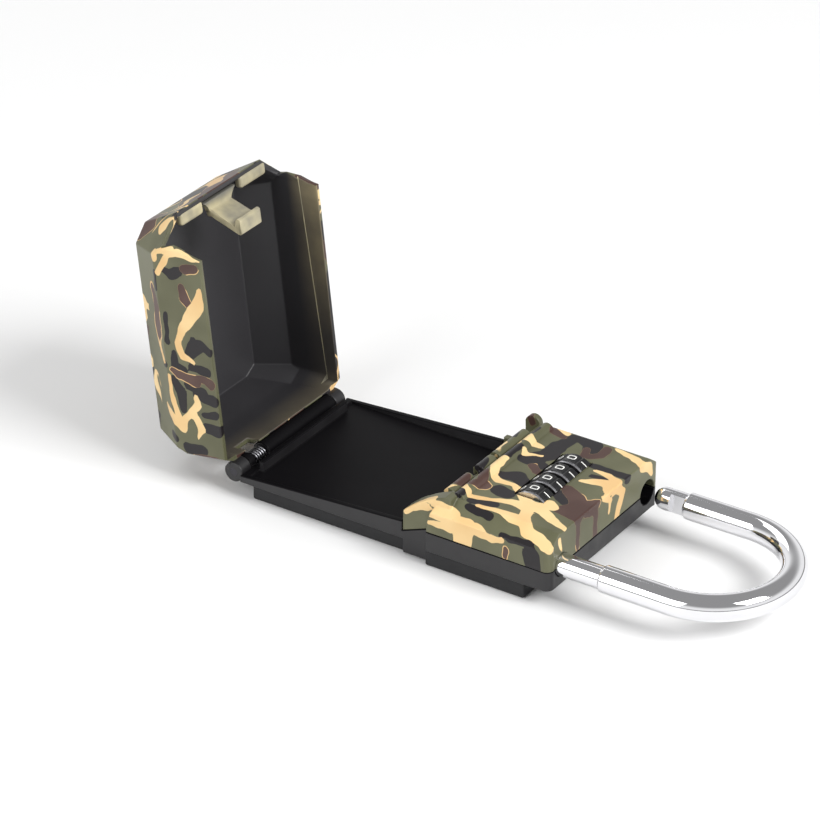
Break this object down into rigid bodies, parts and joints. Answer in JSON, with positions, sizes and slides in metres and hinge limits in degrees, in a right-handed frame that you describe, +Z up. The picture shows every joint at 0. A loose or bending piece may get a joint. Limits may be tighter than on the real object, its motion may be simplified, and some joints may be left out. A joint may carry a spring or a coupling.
{
  "type": "portable key lock box",
  "caption": "Portable key lock box lying open: camouflage-coated lid and combination head with number dials, black tray on a soft pad, bright steel shackle pulled out.",
  "frame": {"origin": "centre of the soft pad's underside, which lies flat on the table", "axes": "+X from the lid's hinge towards the shackle, +Z up out of the tray, +Y across the box so that the shackle's long leg is on the -Y side"},
  "size_m": [0.2575, 0.074, 0.1027],
  "materials": {
    "camouflage_coat": "matt woodland camouflage coat",
    "black_moulding": "satin black",
    "soft_pad": "matt",
    "bright_steel": "polished",
    "plain_steel": "zinc plated",
    "spring_steel": "drawn wire",
    "dial_black": "black with white digits",
    "disc_metal": "satin",
    "sleeve_plastic": "satin"
  },
  "bodies": {
    "base": {"back_pad": "soft_pad", "base_body": "black_moulding", "lock_cover": "camouflage_coat", "cover_screws": "plain_steel", "dial_spindle": "plain_steel", "code_fence": "plain_steel", "click_spring": "spring_steel", "hinge_pin": "plain_steel", "hinge_spring": "spring_steel", "shackle_spring": "spring_steel", "toe_bolt_spring": "spring_steel"},
    "latch": {"latch_slide": "plain_steel"},
    "shackle": {"shackle": "bright_steel"},
    "lid": {"lid_shell": "camouflage_coat", "latch_hook": "camouflage_coat"},
    "dial_1": {"dial_1": "dial_black", "code_disc_1": "disc_metal", "dial_sleeve_1": "sleeve_plastic"},
    "dial_2": {"dial_2": "dial_black", "code_disc_2": "disc_metal", "dial_sleeve_2": "sleeve_plastic"},
    "dial_3": {"dial_3": "dial_black", "code_disc_3": "disc_metal", "dial_sleeve_3": "sleeve_plastic"},
    "dial_4": {"dial_4": "dial_black", "code_disc_4": "disc_metal", "dial_sleeve_4": "sleeve_plastic"},
    "toe_bolt": {"toe_bolt": "plain_steel"},
    "reset_lever": {"reset_lever": "sleeve_plastic"}
  },
  "joints": [
    {"name": "lid_hinge", "type": "hinge", "parent": "base", "child": "lid", "pos_m": [-0.06657, 0, 0.00894], "axis": [0, -1, 0], "range_deg": [-92.87, 0], "stiffness_Nm_per_rad": 0.006, "springref_deg": 34.38},
    {"name": "shackle_slide", "type": "slide", "parent": "base", "child": "latch", "axis": [1, 0, 0], "range_m": [-0.017, 0], "stiffness_N_per_m": 120, "springref_m": 0.012, "deforming": ["shackle_spring"]},
    {"name": "shackle_swing", "type": "hinge", "parent": "latch", "child": "shackle", "pos_m": [0.0556, -0.0291, 0.0145], "axis": [1, 0, 0], "range_deg": [0, 351]},
    {"name": "dial_1_spin", "type": "hinge", "parent": "base", "child": "dial_1", "pos_m": [0.0481, -0.01248, 0.021], "axis": [0, 1, 0], "continuous": true},
    {"name": "dial_2_spin", "type": "hinge", "parent": "base", "child": "dial_2", "pos_m": [0.0481, -0.00416, 0.021], "axis": [0, 1, 0], "continuous": true},
    {"name": "dial_3_spin", "type": "hinge", "parent": "base", "child": "dial_3", "pos_m": [0.0481, 0.00416, 0.021], "axis": [0, 1, 0], "continuous": true},
    {"name": "dial_4_spin", "type": "hinge", "parent": "base", "child": "dial_4", "pos_m": [0.0481, 0.01248, 0.021], "axis": [0, 1, 0], "continuous": true},
    {"name": "toe_bolt_slide", "type": "slide", "parent": "base", "child": "toe_bolt", "axis": [0, 1, 0], "range_m": [0, 0.0024], "deforming": ["toe_bolt_spring"]},
    {"name": "reset_slide", "type": "slide", "parent": "base", "child": "reset_lever", "axis": [0, 1, 0], "range_m": [0, 0.003]}
  ]
}
